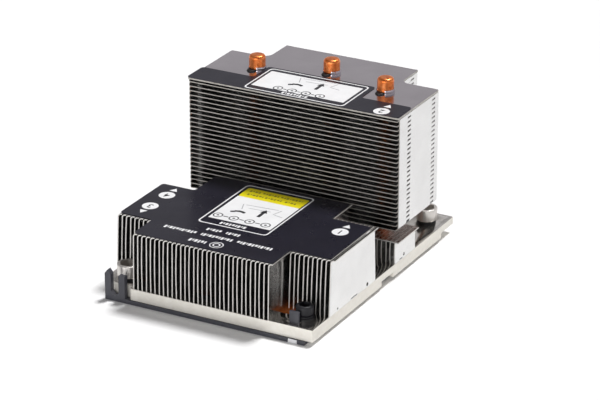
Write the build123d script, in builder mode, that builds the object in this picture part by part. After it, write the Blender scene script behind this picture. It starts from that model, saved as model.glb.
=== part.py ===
from build123d import *
from math import cos, pi, sin, sqrt
import os

# Passive processor heatsink for a rack server, in millimetres.
# Air flows along +Y and +Z is up.
# The origin is the middle of the footprint, on the surface that the part stands on.
# Distances called "from the front" are measured from the base plate's front edge.

# Base plate
base_width = 84.5
base_length = 109.9
base_thickness = 4.4
corner_bevel = 0.6
cut_corner_width = 12.4
cut_corner_depth = 2.0
cut_corner_slope_width = 5.0
cut_corner_slope_depth = 9.0
cut_corner_bevel = 0.6
edge_relief_width = 3.0
edge_relief_depth = 1.8
middle_relief_start = 51.7
middle_relief_length = 8.9
rear_relief_length = 10.4

# Contact pad under the base plate
pad_side_margin = 15.25
pad_length = 66.0
pad_height = 1.0
pad_start = 14.0

# Plastic carrier frame under the base plate
frame_thickness = 1.5
frame_inset = 2.9
frame_reach = 0.6
frame_window_side_gap = 3.0
frame_window_end_gap = 4.0
frame_back_bar = 8.0
frame_corner_bevel = 0.8
frame_nut_notch = 8.4
prong_thickness = 2.0
left_prong_width = 2.4
right_prong_width = 2.5
prong_gap_width = 3.1
prong_height = 8.5
prong_peak = 1.5
prong_gap_floor = 0.5
tab_width = 3.5
tab_thickness = 1.1
tab_height = 4.1
tab_from_right = 6.9
tab_from_front = 2.7
tab_slot_clearance = 0.15

# Captive nuts
nut_from_side = 7.3
nut_from_front = 8.0
nut_from_back = 7.9
nut_head_radius = 3.95
nut_head_height = 4.55
nut_shank_radius = 2.9
nut_shank_end = -1.1
nut_thread_radius = 1.65
nut_running_clearance = 0.1
nut_seat_clearance = 0.05
drive_tip_radius = 2.76
drive_root_radius = 2.0
drive_depth = 3.0
drive_lobes = 6
washer_thickness = 0.8
washer_hole_sides = 6
clip_thickness = 0.5
clip_width = 7.4
clip_sides = 8
clip_gap = 0.1

# Heat pipes
pipe_radius = 3.0
outer_pipe_from_side = 16.65
pipe_flat_width = 7.6
pipe_flat_height = 3.0
pipe_tip_from_front = 8.2
pipe_bend_radius = 12.0
pipe_sides = 12
pipe_bend_steps = 4
pipe_cap_height = 5.3
pipe_cap_bevel = 0.9
outer_riser_from_front = 83.7
middle_riser_from_front = 92.2

# Fins of the low packs
fin_sheet = 0.4
fin_pitch = 1.715
fold_bevel = 0.9
left_wing_count = 8
right_wing_count = 10
low_pack_height = 20.8
centre_pack_start = 0.5
centre_pack_length = 59.0
wing_start = 12.2
wing_length = 33.9
rear_row_start = 61.9
rear_row_length = 16.0
rear_row_height = 8.5
pipe_tunnel_clearance = 0.7

# Fins of the tall stack
stack_from_front = 63.3
stack_depth = 32.0
tail_depth = 14.0
tail_inset = 15.3
stack_lift = 12.0
stack_fin_count = 25
top_fin_gap = 0.55
top_plate_thickness = 0.7
inner_corner_bevel = 2.2
collar_thickness = 0.3
collar_height = 2.2
solder_hole_radius = 1.3
solder_hole_sides = 6
solder_hole_x = -1.7
solder_hole_y = -3.0

# Labels
label_thickness = 0.2
label_bevel = 0.8
low_label_from_left = 0.6
low_label_from_right = 0.6
low_label_centre_from_left = 13.9
low_label_centre_from_right = 16.2
low_label_start = 0.9
low_label_length = 57.7
low_label_wing_start = 13.2
low_label_wing_length = 31.2
tall_label_overhang = 0.5
tall_label_start = 63.2
tall_label_depth = 11.4
tall_label_tongue_inset = 20.55
tall_label_tongue_depth = 22.9

# Places worked out from the sizes above
fold_reach = fin_pitch - fin_sheet
low_fin_count = int(base_width / fin_pitch) + 1
left = (tall_label_overhang - fold_reach - base_width) / 2
right = left + base_width
middle = (left + right) / 2
front = (frame_reach - base_length) / 2
base_floor = frame_thickness
base_top = base_floor + base_thickness
pad_width = base_width - 2 * pad_side_margin
frame_window_width = pad_width + 2 * frame_window_side_gap
frame_window_length = pad_length + 2 * frame_window_end_gap
frame_window_start = pad_start - frame_window_end_gap
frame_length = frame_window_start + frame_window_length + frame_back_bar
low_top = base_top + low_pack_height
stack_floor = base_top + stack_lift
stack_front = front + stack_from_front
stack_back = stack_front + stack_depth
tail_back = stack_back + tail_depth
top_fin_top = stack_floor + (stack_fin_count - 1) * fin_pitch + fin_sheet
top_plate_floor = top_fin_top + top_fin_gap
top_plate_top = top_plate_floor + top_plate_thickness
pipe_top = top_plate_top + pipe_cap_height
nut_front = front + nut_from_front
nut_rear = front + base_length - nut_from_back
nut_left = left + nut_from_side
nut_right = right - nut_from_side
nut_places = {
    "front_left": (nut_left, nut_front),
    "front_right": (nut_right, nut_front),
    "rear_left": (nut_left, nut_rear),
    "rear_right": (nut_right, nut_rear),
}
bore_radius = nut_shank_radius + nut_running_clearance
washer_top = base_top + washer_thickness
head_floor = washer_top + nut_seat_clearance
head_top = head_floor + nut_head_height
shank_floor = base_floor + nut_shank_end
clip_floor = base_floor - clip_gap - clip_thickness
pipe_places = {
    "left": (left + outer_pipe_from_side, outer_riser_from_front),
    "middle": (middle, middle_riser_from_front),
    "right": (right - outer_pipe_from_side, outer_riser_from_front),
}
pipe_bend_overrun = sqrt((pipe_bend_radius + pipe_radius) ** 2 - pipe_bend_radius ** 2)

os.makedirs("parts", exist_ok=True)


def keep(part, name):
    """Label a finished piece and write it."""
    part.label = name
    export_step(part, f"parts/{name}.step")


def low_fin_x(index):
    """The right face of one fin's wall: the last one is flush with the base plate's side."""
    return right - (low_fin_count - 1 - index) * fin_pitch


# Base plate with its cut corner, nut bores, tab slot, pipe grooves, edge reliefs and contact pad
with BuildPart() as base_plate:
    with BuildSketch(Plane.XY.offset(base_floor)):
        with BuildLine():
            Polyline(
                (left + cut_corner_width, front),
                (right, front),
                (right, front + base_length),
                (left, front + base_length),
                (left, front + cut_corner_slope_depth),
                (left + cut_corner_slope_width, front + cut_corner_depth),
                (left + cut_corner_width, front + cut_corner_depth),
                close=True,
            )
        make_face()
    extrude(amount=base_thickness)
    cut_corner = base_plate.edges().filter_by(Axis.Z).group_by(Axis.X)[:3]
    chamfer([group.sort_by(Axis.Y)[0] for group in cut_corner], length=cut_corner_bevel)
    chamfer(base_plate.edges().filter_by(Axis.Z).sort_by(Axis.Y)[-2:], length=corner_bevel)
    with BuildSketch(Plane.XY.offset(base_floor)):
        with Locations((middle, front + pad_start + pad_length / 2)):
            Rectangle(pad_width, pad_length)
    extrude(amount=-pad_height)
    with BuildSketch(Plane.XY.offset(base_floor)):
        for side in (left, right):
            inward = edge_relief_width if side < middle else -edge_relief_width
            middle_relief_y = front + middle_relief_start + middle_relief_length / 2
            with Locations((side + inward / 2, middle_relief_y)):
                Rectangle(edge_relief_width, middle_relief_length)
            with Locations((side + inward / 2, front + base_length - rear_relief_length / 2)):
                Rectangle(edge_relief_width, rear_relief_length)
    extrude(amount=edge_relief_depth, mode=Mode.SUBTRACT)
    with BuildSketch(Plane.XY.offset(base_floor)):
        with Locations(*nut_places.values()):
            Circle(bore_radius)
        tab_middle = right - tab_from_right - tab_width / 2
        with Locations((tab_middle, front + tab_from_front + tab_thickness / 2)):
            Rectangle(tab_width + 2 * tab_slot_clearance, tab_thickness + 2 * tab_slot_clearance)
    extrude(amount=base_thickness, mode=Mode.SUBTRACT)
    with BuildSketch(Plane.XY.offset(base_top)):
        for pipe_x, riser in pipe_places.values():
            groove_start = front + pipe_tip_from_front
            groove_end = front + riser - pipe_bend_radius + pipe_bend_overrun
            with Locations((pipe_x, (groove_start + groove_end) / 2)):
                Rectangle(pipe_flat_width, groove_end - groove_start)
    extrude(amount=-pipe_flat_height, mode=Mode.SUBTRACT)
keep(base_plate.part, "base_plate")


# Plastic carrier frame: a flat window frame, two prongs at the cut corner and a tab through the base
frame_left = left + frame_inset
frame_right = right - frame_inset
frame_front = front - frame_reach
frame_back = front + frame_length
gap_left = frame_left + left_prong_width
gap_floor = base_floor + prong_gap_floor
prongs_width = left_prong_width + prong_gap_width + right_prong_width
with BuildPart() as carrier_frame:
    with BuildSketch() as carrier_outline:
        with Locations(((frame_left + frame_right) / 2, (frame_front + frame_back) / 2)):
            Rectangle(frame_right - frame_left, frame_back - frame_front)
        chamfer(carrier_outline.vertices().sort_by(Axis.Y)[-2:], length=frame_corner_bevel)
        with Locations((middle, front + frame_window_start + frame_window_length / 2)):
            Rectangle(frame_window_width, frame_window_length, mode=Mode.SUBTRACT)
        with Locations(*nut_places.values()):
            Rectangle(frame_nut_notch, frame_nut_notch, mode=Mode.SUBTRACT)
    extrude(amount=frame_thickness)
    with BuildSketch(Plane.XZ.offset(-frame_front)):
        with BuildLine():
            Polyline(
                (frame_left, 0),
                (frame_left, base_floor + prong_height),
                (frame_left + left_prong_width / 2, base_floor + prong_height + prong_peak),
                (gap_left, base_floor + prong_height),
                (gap_left, gap_floor + prong_gap_width / 2),
                (gap_left + prong_gap_width / 2, gap_floor),
                (gap_left + prong_gap_width, gap_floor + prong_gap_width / 2),
                (gap_left + prong_gap_width, base_floor + prong_height),
                (frame_left + prongs_width, base_floor + prong_height),
                (frame_left + prongs_width, 0),
                close=True,
            )
        make_face()
    extrude(amount=-prong_thickness)
    with BuildSketch(Plane.XY.offset(frame_thickness)):
        with Locations((tab_middle, front + tab_from_front + tab_thickness / 2)):
            Rectangle(tab_width, tab_thickness)
    extrude(amount=base_thickness + tab_height)
keep(carrier_frame.part, "carrier_frame")


# Heat pipes: pressed flat in the base plate, then bent up through the tall stack
def pipe_face(pipe_x, y, half_width, half_height, centre_height):
    """A pipe's section pressed to this half width and half height, as a face across Y."""
    corner_reach = 1 / cos(pi / pipe_sides)
    angles = [(2 * i + 1) * pi / pipe_sides for i in range(pipe_sides)]
    outline = [
        (
            pipe_x + half_width * corner_reach * cos(angle),
            centre_height + max(-half_height, min(half_height, pipe_radius * corner_reach * sin(angle))),
        )
        for angle in angles
    ]
    with BuildSketch(Plane.XZ.offset(-y)) as section:
        with BuildLine():
            Polyline(*outline, close=True)
        make_face()
    return section.sketch


def heat_pipe(pipe_x, riser):
    tip = front + pipe_tip_from_front
    bend_start = front + riser - pipe_bend_radius
    half_height = pipe_flat_height / 2
    flat_face = pipe_face(pipe_x, tip, pipe_flat_width / 2, half_height, base_top - half_height)
    round_face = pipe_face(pipe_x, bend_start, pipe_radius, pipe_radius, base_top)
    turn = pi / 2 / pipe_bend_steps
    knee_radius = pipe_bend_radius / cos(turn / 2)
    knees = [turn * (step + 0.5) for step in range(pipe_bend_steps)]
    bend = [(knee_radius * sin(knee), pipe_bend_radius - knee_radius * cos(knee)) for knee in knees]
    along_pipe = Plane(origin=(pipe_x, bend_start, base_top), x_dir=(0, 1, 0), z_dir=(1, 0, 0))
    with BuildPart() as pipe:
        extrude(flat_face, amount=tip - bend_start)
        with BuildLine(along_pipe) as riser_path:
            Polyline((0, 0), *bend, (pipe_bend_radius, pipe_top - base_top))
        sweep(sections=round_face, path=riser_path.wires()[0], transition=Transition.RIGHT)
        chamfer(pipe.faces().sort_by(Axis.Z)[-1].edges(), length=pipe_cap_bevel)
    return pipe.part


for side, (pipe_x, riser) in pipe_places.items():
    keep(heat_pipe(pipe_x, riser), f"heat_pipe_{side}")


# Low fins: each is one sheet whose top folds over a bevelled shoulder to meet the next fin
def folded_fin(index, start, length, height):
    wall_right = low_fin_x(index)
    wall_left = wall_right - fin_sheet
    flange_end = wall_left + fin_pitch
    top = base_top + height
    mitre = fin_sheet * (sqrt(2) - 1)
    with BuildPart() as fin:
        with BuildSketch(Plane.XZ.offset(-(front + start))):
            with BuildLine():
                Polyline(
                    (wall_left, base_top),
                    (wall_left, top - fold_bevel),
                    (wall_left + fold_bevel, top),
                    (flange_end, top),
                    (flange_end, top - fin_sheet),
                    (wall_left + fold_bevel + mitre, top - fin_sheet),
                    (wall_right, top - fold_bevel - mitre),
                    (wall_right, base_top),
                    close=True,
                )
            make_face()
        extrude(amount=-length)
    return fin.part.solid()


def fin_pack(first, count, start, length, height):
    """Separate fins that touch at their flanges, written as one node."""
    fins = [folded_fin(index, start, length, height) for index in range(first, first + count)]
    return Compound(fins)


centre_count = low_fin_count - left_wing_count - right_wing_count
keep(fin_pack(0, left_wing_count, wing_start, wing_length, low_pack_height), "left_wing_fins")
keep(
    fin_pack(left_wing_count, centre_count, centre_pack_start, centre_pack_length, low_pack_height),
    "centre_pack_fins",
)
keep(
    fin_pack(low_fin_count - right_wing_count, right_wing_count, wing_start, wing_length, low_pack_height),
    "right_wing_fins",
)


# Low rear row: short fins under the tall stack, tunnelled where the outer pipes bend up
def rear_row_fin(index):
    wall_right = low_fin_x(index)
    wall_left = wall_right - fin_sheet
    flange_end = wall_left + fin_pitch
    top = base_top + rear_row_height
    row_start = front + rear_row_start
    tunnel_start = front + outer_riser_from_front - pipe_bend_radius - pipe_tunnel_clearance
    row_end = row_start + rear_row_length
    bend_rise = row_end - (front + outer_riser_from_front - pipe_bend_radius)
    inner_radius = pipe_bend_radius - pipe_radius
    tunnel_height = pipe_bend_radius - sqrt(inner_radius ** 2 - bend_rise ** 2) + pipe_tunnel_clearance
    with BuildPart() as fin:
        with BuildSketch(Plane.XZ.offset(-row_start)):
            with BuildLine():
                Polyline(
                    (wall_left, base_top),
                    (wall_left, top),
                    (flange_end, top),
                    (flange_end, top - fin_sheet),
                    (wall_right, top - fin_sheet),
                    (wall_right, base_top),
                    close=True,
                )
            make_face()
        extrude(amount=-rear_row_length)
        for side in ("left", "right"):
            pipe_x = pipe_places[side][0]
            reach = pipe_flat_width / 2 + pipe_tunnel_clearance
            if wall_left - reach < pipe_x < flange_end + reach:
                with BuildSketch(Plane.XY.offset(base_top)):
                    with Locations((pipe_x, (tunnel_start + row_end) / 2)):
                        Rectangle(2 * reach, row_end - tunnel_start)
                extrude(amount=tunnel_height, mode=Mode.SUBTRACT)
    return fin.part.solid()


keep(Compound([rear_row_fin(index) for index in range(low_fin_count)]), "rear_row_fins")


# Tall stack: flat fins whose sides fold up to meet the next one, threaded on the three pipes
tail_left = left + tail_inset
tail_right = right - tail_inset


def stack_fin(floor, flange_height):
    with BuildPart() as fin:
        with BuildSketch(Plane.XY.offset(floor)):
            with BuildLine():
                Polyline(
                    (left, stack_front),
                    (right, stack_front),
                    (right, stack_back),
                    (tail_right + inner_corner_bevel, stack_back),
                    (tail_right, stack_back + inner_corner_bevel),
                    (tail_right, tail_back),
                    (tail_left, tail_back),
                    (tail_left, stack_back + inner_corner_bevel),
                    (tail_left - inner_corner_bevel, stack_back),
                    (left, stack_back),
                    close=True,
                )
            make_face()
            for pipe_x, riser in pipe_places.values():
                with Locations((pipe_x, front + riser)):
                    Rectangle(2 * pipe_radius, 2 * pipe_radius, mode=Mode.SUBTRACT)
        extrude(amount=fin_sheet)
        with BuildSketch(Plane.XY.offset(floor + fin_sheet)):
            for outer, inward in ((left, 1), (right, -1)):
                with Locations((outer + inward * fin_sheet / 2, stack_front + stack_depth / 2)):
                    Rectangle(fin_sheet, stack_depth)
            for outer, inward in ((tail_left, 1), (tail_right, -1)):
                tail_wall = tail_depth - inner_corner_bevel
                with Locations((outer + inward * fin_sheet / 2, tail_back - tail_wall / 2)):
                    Rectangle(fin_sheet, tail_wall)
        extrude(amount=flange_height)
    return fin.part


for number in range(stack_fin_count):
    is_top = number == stack_fin_count - 1
    flange = top_fin_gap if is_top else fin_pitch - fin_sheet
    keep(stack_fin(stack_floor + number * fin_pitch, flange), f"stack_fin_{number + 1:02d}")


# Top plate: a thicker fin with a drawn collar at each pipe, opened by a solder hole
def pipe_polygon(radius, mode):
    return RegularPolygon(radius, pipe_sides, major_radius=False, rotation=180 / pipe_sides, mode=mode)


def solder_hole(pipe_x, riser):
    with Locations((pipe_x + solder_hole_x, front + riser + solder_hole_y)):
        RegularPolygon(solder_hole_radius, solder_hole_sides, mode=Mode.SUBTRACT)


with BuildPart() as top_plate:
    with BuildSketch(Plane.XY.offset(top_plate_floor)) as plate_outline:
        with Locations((middle, stack_front + stack_depth / 2)):
            Rectangle(base_width, stack_depth)
        with Locations((middle, stack_back + tail_depth / 2)):
            Rectangle(base_width - 2 * tail_inset, tail_depth)
        inner_corners = plate_outline.vertices().group_by(Axis.Y)[1].sort_by(Axis.X)[1:3]
        chamfer(inner_corners, length=inner_corner_bevel)
        for pipe_x, riser in pipe_places.values():
            with Locations((pipe_x, front + riser)):
                pipe_polygon(pipe_radius, Mode.SUBTRACT)
            solder_hole(pipe_x, riser)
    extrude(amount=top_plate_thickness)
    with BuildSketch(Plane.XY.offset(top_plate_top)):
        for pipe_x, riser in pipe_places.values():
            with Locations((pipe_x, front + riser)):
                pipe_polygon(pipe_radius + collar_thickness, Mode.ADD)
                pipe_polygon(pipe_radius, Mode.SUBTRACT)
            solder_hole(pipe_x, riser)
    extrude(amount=collar_height)
keep(top_plate.part, "stack_top_plate")


# Labels: a plus-shaped one over the low packs, a strip with a tongue on the tall stack
def outer_corners(label_outline):
    """The two end corners of each row of corners, without the inner corners between them."""
    rows = label_outline.vertices().group_by(Axis.Y)
    return [row.sort_by(Axis.X)[end] for row in rows for end in (0, -1)]


with BuildPart() as low_label:
    with BuildSketch(Plane.XY.offset(low_top)) as low_label_outline:
        wings_left = left + low_label_from_left
        wings_right = right - low_label_from_right
        with Locations(((wings_left + wings_right) / 2, front + low_label_wing_start + low_label_wing_length / 2)):
            Rectangle(wings_right - wings_left, low_label_wing_length)
        centre_left = left + low_label_centre_from_left
        centre_right = right - low_label_centre_from_right
        with Locations(((centre_left + centre_right) / 2, front + low_label_start + low_label_length / 2)):
            Rectangle(centre_right - centre_left, low_label_length)
        chamfer(outer_corners(low_label_outline), length=label_bevel)
    extrude(amount=label_thickness)
keep(low_label.part, "low_label")

with BuildPart() as tall_label:
    with BuildSketch(Plane.XY.offset(top_plate_top)) as tall_label_outline:
        with Locations((middle - tall_label_overhang, front + tall_label_start + tall_label_depth / 2)):
            Rectangle(base_width, tall_label_depth)
        with Locations((middle, front + tall_label_start + tall_label_tongue_depth / 2)):
            Rectangle(base_width - 2 * tall_label_tongue_inset, tall_label_tongue_depth)
        chamfer(outer_corners(tall_label_outline), length=label_bevel)
    extrude(amount=label_thickness)
keep(tall_label.part, "tall_label")


# Captive nuts: a star-drive head on a nylon washer, its shank through the base plate to a snap clip
def star_points(x, y):
    step = 180 / drive_lobes
    radii = (drive_tip_radius, drive_root_radius)
    spokes = [Vector(radii[i % 2], 0).rotate(Axis.Z, i * step) for i in range(2 * drive_lobes)]
    return [Vector(x, y) + spoke for spoke in spokes]


def captive_nut(x, y):
    with BuildPart() as nut:
        with BuildSketch(Plane.XY.offset(head_floor)):
            with Locations((x, y)):
                Circle(nut_head_radius)
        extrude(amount=nut_head_height)
        with BuildSketch(Plane.XY.offset(shank_floor)):
            with Locations((x, y)):
                Circle(nut_shank_radius)
        extrude(amount=head_floor - shank_floor)
        with BuildSketch(Plane.XY.offset(head_top)):
            with BuildLine():
                Polyline(*star_points(x, y), close=True)
            make_face()
        extrude(amount=-drive_depth, mode=Mode.SUBTRACT)
        with BuildSketch(Plane.XY.offset(shank_floor)):
            with Locations((x, y)):
                Circle(nut_thread_radius)
        extrude(amount=head_top - shank_floor, mode=Mode.SUBTRACT)
    return nut.part


def clip_polygon(radius, mode):
    return RegularPolygon(radius, clip_sides, major_radius=False, rotation=180 / clip_sides, mode=mode)


def snap_clip(x, y):
    with BuildPart() as clip:
        with BuildSketch(Plane.XY.offset(clip_floor)):
            with Locations((x, y)):
                clip_polygon(clip_width / 2, Mode.ADD)
                clip_polygon(nut_shank_radius, Mode.SUBTRACT)
            with Locations((x, y - clip_width / 4)):
                Rectangle(2 * nut_shank_radius, clip_width / 2, mode=Mode.SUBTRACT)
        extrude(amount=clip_thickness)
    return clip.part


for corner, (nut_x, nut_y) in nut_places.items():
    keep(captive_nut(nut_x, nut_y), f"nut_{corner}")
    keep(snap_clip(nut_x, nut_y), f"nut_clip_{corner}")

with BuildPart() as nut_washers:
    with BuildSketch(Plane.XY.offset(base_top)):
        with Locations(*nut_places.values()):
            Circle(nut_head_radius)
            RegularPolygon(bore_radius, washer_hole_sides, major_radius=False, mode=Mode.SUBTRACT)
    extrude(amount=washer_thickness)
keep(nut_washers.part, "nut_washers")
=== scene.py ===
from math import cos, pi, radians, sin

import bmesh
import bpy
from mathutils import Matrix, Vector


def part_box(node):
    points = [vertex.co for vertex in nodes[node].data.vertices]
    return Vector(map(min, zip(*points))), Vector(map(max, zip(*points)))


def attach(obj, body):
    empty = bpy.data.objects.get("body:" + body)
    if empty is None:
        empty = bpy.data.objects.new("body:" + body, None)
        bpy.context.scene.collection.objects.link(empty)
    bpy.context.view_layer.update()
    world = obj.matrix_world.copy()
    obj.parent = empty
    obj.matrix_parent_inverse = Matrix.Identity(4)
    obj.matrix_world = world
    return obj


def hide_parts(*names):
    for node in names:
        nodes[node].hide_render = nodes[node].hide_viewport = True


# Passive processor heatsink for a rack server, dressed over its CAD frame.
# Places are in millimetres from the base plate's left edge, front edge and underside.
# at() turns them into the frame's metres.

MM = 0.001

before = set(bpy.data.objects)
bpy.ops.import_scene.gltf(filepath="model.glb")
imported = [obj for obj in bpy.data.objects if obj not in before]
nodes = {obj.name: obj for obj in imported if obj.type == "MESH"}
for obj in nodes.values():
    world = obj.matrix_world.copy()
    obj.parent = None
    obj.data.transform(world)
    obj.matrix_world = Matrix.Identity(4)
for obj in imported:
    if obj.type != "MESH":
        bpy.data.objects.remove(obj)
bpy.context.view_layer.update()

# Sizes taken from the frame
base_low, base_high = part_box("base_plate")
BASE_WIDTH = (base_high.x - base_low.x) / MM
BASE_THICKNESS = 4.4
LEFT = base_low.x
FRONT = base_low.y
UNDERSIDE = base_high.z - BASE_THICKNESS * MM
CENTRE_X = BASE_WIDTH / 2


def at(x, y, z):
    """A place in millimetres on the part, in the frame's metres."""
    return Vector((LEFT + x * MM, FRONT + y * MM, UNDERSIDE + z * MM))


def spot(co):
    """The other way round: a point of the frame in millimetres on the part."""
    return Vector(((co[0] - LEFT) / MM, (co[1] - FRONT) / MM, (co[2] - UNDERSIDE) / MM))


def top_of(node):
    return spot(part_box(node)[1]).z


def floor_of(node):
    return spot(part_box(node)[0]).z


# Low fins
FIN_SHEET = 0.4
FIN_PITCH = 1.715
LOW_FIN_COUNT = 50
LEFT_WING_COUNT = 8
RIGHT_WING_COUNT = 10
CENTRE_COUNT = LOW_FIN_COUNT - LEFT_WING_COUNT - RIGHT_WING_COUNT
LOW_TOP = top_of("centre_pack_fins")
LOW_FOLD = 1.3
WING_START = 12.2
LEFT_WING_LENGTH = 32.0
RIGHT_WING_LENGTH = 34.4
CENTRE_START = 0.5
CENTRE_LENGTH = 59.0
REAR_ROW_TOP = top_of("rear_row_fins")
REAR_ROW_START = 61.9
REAR_ROW_LENGTH = 16.0
REAR_ROW_FOLD = 0.2

# Tall stack and its top plate
STACK_SHEET = 0.32
STACK_FOLD = 0.9
STACK_RISE = FIN_PITCH + STACK_FOLD - 0.03
STACK_INNER_CORNER = 3.2
STACK_FLOOR = floor_of("stack_fin_01")
STACK_FRONT = spot(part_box("stack_fin_01")[0]).y
STACK_DEPTH = 32.0
STACK_BACK = STACK_FRONT + STACK_DEPTH
TAIL_BACK = spot(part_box("stack_fin_01")[1]).y
TAIL_INSET = 15.3
STACK_FIN_COUNT = 25
PLATE_FLOOR = floor_of("stack_top_plate")
PLATE_THICKNESS = 0.7
PLATE_TOP = PLATE_FLOOR + PLATE_THICKNESS
PLATE_INNER_CORNER = 3.4
PLATE_OUTER_CORNER = 0.9
SLOT_COLUMNS = (71.4, 90.6)
TAIL_SLOT_COLUMN = 104.5
SLOT_WIDTH = 2.5
SLOT_HEIGHT = 0.85
SLOT_SLANT = 0.35
SLOT_DEPTH = 2.2

# Heat pipes, with small shifts of their tops from the even spacing
PIPE_RADIUS = 3.0
PIPE_PITCH = 25.6
PIPE_BEND_RADIUS = 12.0
PIPE_TIP = 8.2
FLAT_WIDTH = 7.6
FLAT_HEIGHT = 3.0
PIPE_TOP = top_of("heat_pipe_left")
RISERS = {
    "left": (CENTRE_X - PIPE_PITCH, 83.7),
    "middle": (CENTRE_X, 92.2),
    "right": (CENTRE_X + PIPE_PITCH, 83.7),
}
TOP_SHIFT = {"left": (0.6, -0.2), "middle": (0.6, 0.4), "right": (0.5, 1.3)}
COLLAR_HEIGHT = 1.2
COLLAR_WALL = 0.35
SOLDER_HOLE_RADIUS = 1.75
SOLDER_HOLE_SIDES = 24
SOLDER_HOLE_SHIFT = (-0.5, -3.4)
SOLDER_TOOL_REACH = 1.2
SHADE_PLUG_RISE = 0.55

# Captive nuts, washers and the pale foot
NUT_HEAD_RADIUS = 3.95
BLACK_NUT_RADIUS = 3.15
BLACK_NUT_DROP = 0.3
NUT_FLANGE = 0.7
NUT_SHANK_RADIUS = 2.9
NUT_BORE_RADIUS = 1.65
NUT_HEAD_FLOOR = BASE_THICKNESS + 0.85
DRIVE_TIP = 3.0
DRIVE_ROOT = 2.65
DRIVE_DEPTH = 3.4
BLACK_DRIVE_SHARE = 0.68
BLACK_DRIVE_DEPTH = 2.6
WASHER_RADIUS = 3.4
WASHER_BORE_RADIUS = 3.0
FOOT_LOW = (75.25, -0.58, -1.48)
FOOT_HIGH = (78.75, 1.9, -0.08)
FOOT_NOTCH_LOW = (75.2, -2, -2)
FOOT_NOTCH_HIGH = (78.8, 2, -0.05)

# Labels: the film's thickness and the print's, and the widths that stand in for letters
FILM = 0.2
INK = 0.02
FILM_CORNER = 1.3
STROKES = (0.85, 0.45, 1.0, 0.7, 0.9, 0.55)
STROKE_HEIGHTS = (1, 0.72, 0.9)
STROKE_GAP = 0.42

NUTS = {}
for corner in ("front_left", "front_right", "rear_left", "rear_right"):
    nut_low, nut_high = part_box(f"nut_{corner}")
    NUTS[corner] = spot((nut_low + nut_high) / 2).xy


# Editing helpers
def deselect_all():
    if bpy.context.object and bpy.context.object.mode != "OBJECT":
        bpy.ops.object.mode_set(mode="OBJECT")
    bpy.ops.object.select_all(action="DESELECT")


def settle(name):
    """Name the new primitive and bring its place into its mesh."""
    piece = bpy.context.object
    piece.name = name
    piece.data.name = name
    bpy.ops.object.transform_apply(location=True, rotation=True, scale=True)
    return piece


def pick(piece, kind, wanted):
    """In edit mode, select just the vertices, edges or faces whose every corner is wanted, in millimetres."""
    if piece.mode != "EDIT":
        deselect_all()
        bpy.context.view_layer.objects.active = piece
        piece.select_set(True)
        bpy.ops.object.mode_set(mode="EDIT")
    bpy.ops.mesh.select_mode(type=kind)
    bpy.ops.mesh.select_all(action="DESELECT")
    mesh = bmesh.from_edit_mesh(piece.data)
    items = {"VERT": mesh.verts, "EDGE": mesh.edges, "FACE": mesh.faces}[kind]
    for item in items:
        corners = [item] if kind == "VERT" else item.verts
        if all(wanted(spot(corner.co)) for corner in corners):
            item.select = True
    mesh.select_flush_mode()
    bmesh.update_edit_mesh(piece.data)


def pick_upright_edges(piece):
    pick(piece, "FACE", lambda v: False)
    bpy.ops.mesh.select_mode(type="EDGE")
    mesh = bmesh.from_edit_mesh(piece.data)
    for edge in mesh.edges:
        direction = edge.verts[0].co - edge.verts[1].co
        edge.select = abs(direction.z) > abs(direction.x) + abs(direction.y)
    bmesh.update_edit_mesh(piece.data)


def near(value, other, slack=0.02):
    return abs(value - other) < slack


def extrude(x=0, y=0, z=0):
    """Extrude the picked edges or faces by millimetres."""
    bpy.ops.mesh.extrude_region_move(TRANSFORM_OT_translate={"value": (x * MM, y * MM, z * MM)})


def shift(x=0, y=0, z=0):
    """Move the picked parts by millimetres."""
    bpy.ops.transform.translate(value=(x * MM, y * MM, z * MM))


def grow(x, y, z, centre):
    """Scale the picked parts about a place in millimetres."""
    bpy.ops.transform.resize(value=(x, y, z), center_override=at(*centre))


def finish_modifier(piece, kind, **values):
    deselect_all()
    bpy.context.view_layer.objects.active = piece
    piece.select_set(True)
    modifier = piece.modifiers.new(kind.lower(), kind)
    for key, value in values.items():
        setattr(modifier, key, value)
    bpy.ops.object.modifier_apply(modifier=modifier.name)


def thicken(piece, thickness):
    """Give a sheet its thickness; its cut edges take the second material."""
    finish_modifier(
        piece, "SOLIDIFY", thickness=thickness * MM, offset=-1, use_even_offset=True, material_offset_rim=1
    )


def repeat(piece, count, step):
    finish_modifier(
        piece,
        "ARRAY",
        count=count,
        use_relative_offset=False,
        use_constant_offset=True,
        constant_offset_displace=[value * MM for value in step],
    )


def round_edges(piece, width, segments=2, angle=30):
    finish_modifier(
        piece, "BEVEL", width=width * MM, segments=segments, limit_method="ANGLE", angle_limit=radians(angle)
    )


def cut(piece, tool):
    """Take the tool's shape out of a piece, and the tool out of the scene."""
    finish_modifier(piece, "BOOLEAN", operation="DIFFERENCE", object=tool, solver="EXACT")
    bpy.data.objects.remove(tool, do_unlink=True)
    pick(piece, "FACE", lambda v: True)
    bpy.ops.mesh.normals_make_consistent(inside=False)
    bpy.ops.object.mode_set(mode="OBJECT")


def join(pieces, name):
    deselect_all()
    for piece in pieces:
        piece.select_set(True)
    bpy.context.view_layer.objects.active = pieces[0]
    if len(pieces) > 1:
        bpy.ops.object.join()
    pieces[0].name = name
    pieces[0].data.name = name
    return pieces[0]


def smooth(piece, angle=35):
    deselect_all()
    bpy.context.view_layer.objects.active = piece
    piece.select_set(True)
    bpy.ops.object.shade_smooth_by_angle(angle=radians(angle))


def block(name, low, high):
    """A box between two corners, in millimetres."""
    deselect_all()
    low, high = at(*low), at(*high)
    bpy.ops.mesh.primitive_cube_add(size=1, location=(low + high) / 2, scale=high - low)
    return settle(name)


def rod(name, x, y, low, high, radius, sides=48):
    """An upright cylinder, in millimetres."""
    deselect_all()
    bpy.ops.mesh.primitive_cylinder_add(
        vertices=sides, radius=radius * MM, depth=(high - low) * MM, location=at(x, y, (low + high) / 2)
    )
    return settle(name)


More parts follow.
